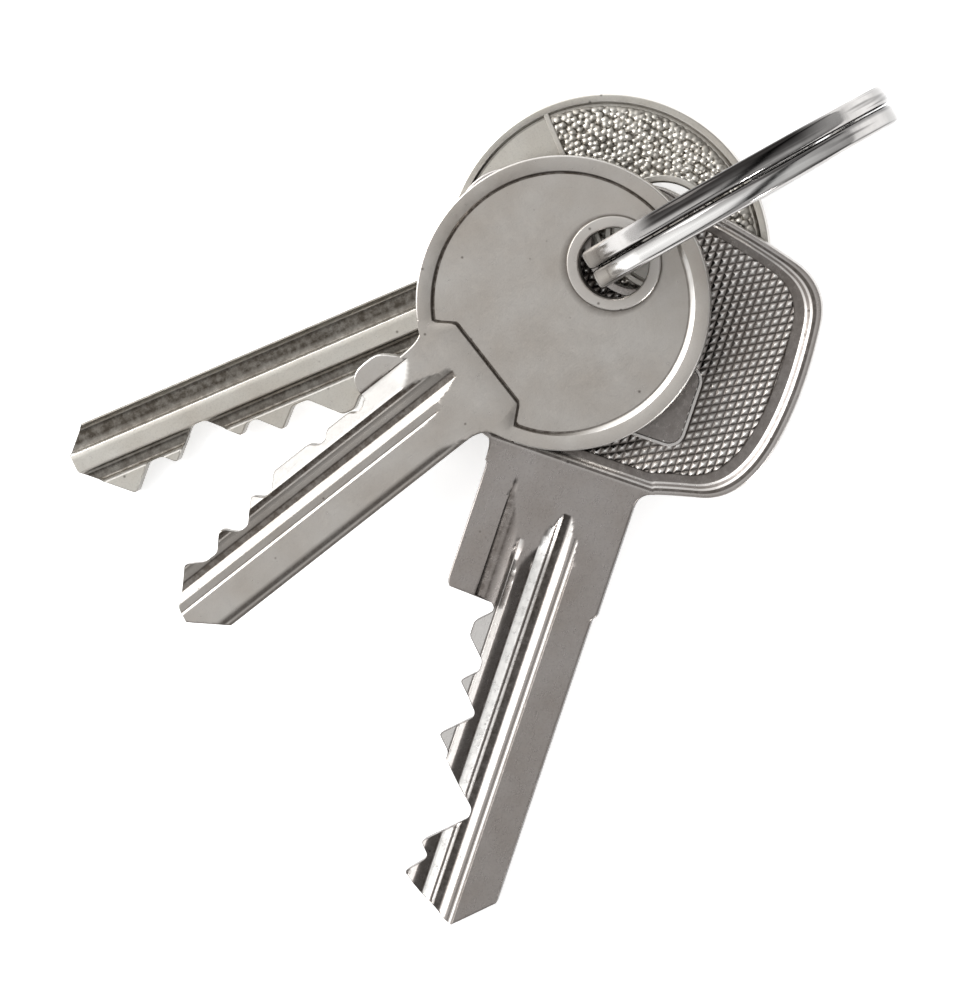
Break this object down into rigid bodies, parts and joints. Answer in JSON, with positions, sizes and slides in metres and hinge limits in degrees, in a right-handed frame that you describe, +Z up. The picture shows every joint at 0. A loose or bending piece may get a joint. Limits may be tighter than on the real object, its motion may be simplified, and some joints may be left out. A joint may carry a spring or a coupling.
{
  "type": "key ring with keys",
  "caption": "Flat cylinder-lock keys with round, knurled and pebbled bows, hung on a two-coil split ring.",
  "frame": {"origin": "centre of the footprint of the whole bunch, on the surface it stands on", "axes": "+Z up from the table, +X along the split ring's plane away from the keys' side of the ring, +Y across the ring"},
  "size_m": [0.0744, 0.0564, 0.0281],
  "materials": {
    "ring_steel": "nickel-plated spring steel, polished",
    "satin_nickel": "nickel-plated brass, worn satin",
    "bright_nickel": "nickel-plated brass, pressed knurl",
    "yellowed_nickel": "nickel silver, tumbled, slightly yellowed"
  },
  "bodies": {
    "ring": {"split_ring": "ring_steel"},
    "round_key": {"round_bow_key": "satin_nickel"},
    "knurled_key": {"knurled_bow_key": "bright_nickel"},
    "pebbled_key": {"pebbled_bow_key": "yellowed_nickel"}
  },
  "joints": [
    {"name": "round_key_swing", "type": "hinge", "parent": "ring", "child": "round_key", "pos_m": [0.01116, 0.01361, 0.00913], "axis": [-0.0748, -0.0645, 0.9951], "range_deg": [-160, 150]},
    {"name": "knurled_key_swing", "type": "hinge", "parent": "ring", "child": "knurled_key", "pos_m": [0.01379, 0.01426, 0.00691], "axis": [-0.0748, -0.0645, 0.9951], "range_deg": [-160, 70]},
    {"name": "pebbled_key_swing", "type": "hinge", "parent": "ring", "child": "pebbled_key", "pos_m": [0.01582, 0.01412, 0.00459], "axis": [-0.0748, -0.0645, 0.9951], "range_deg": [-100, 110]}
  ]
}
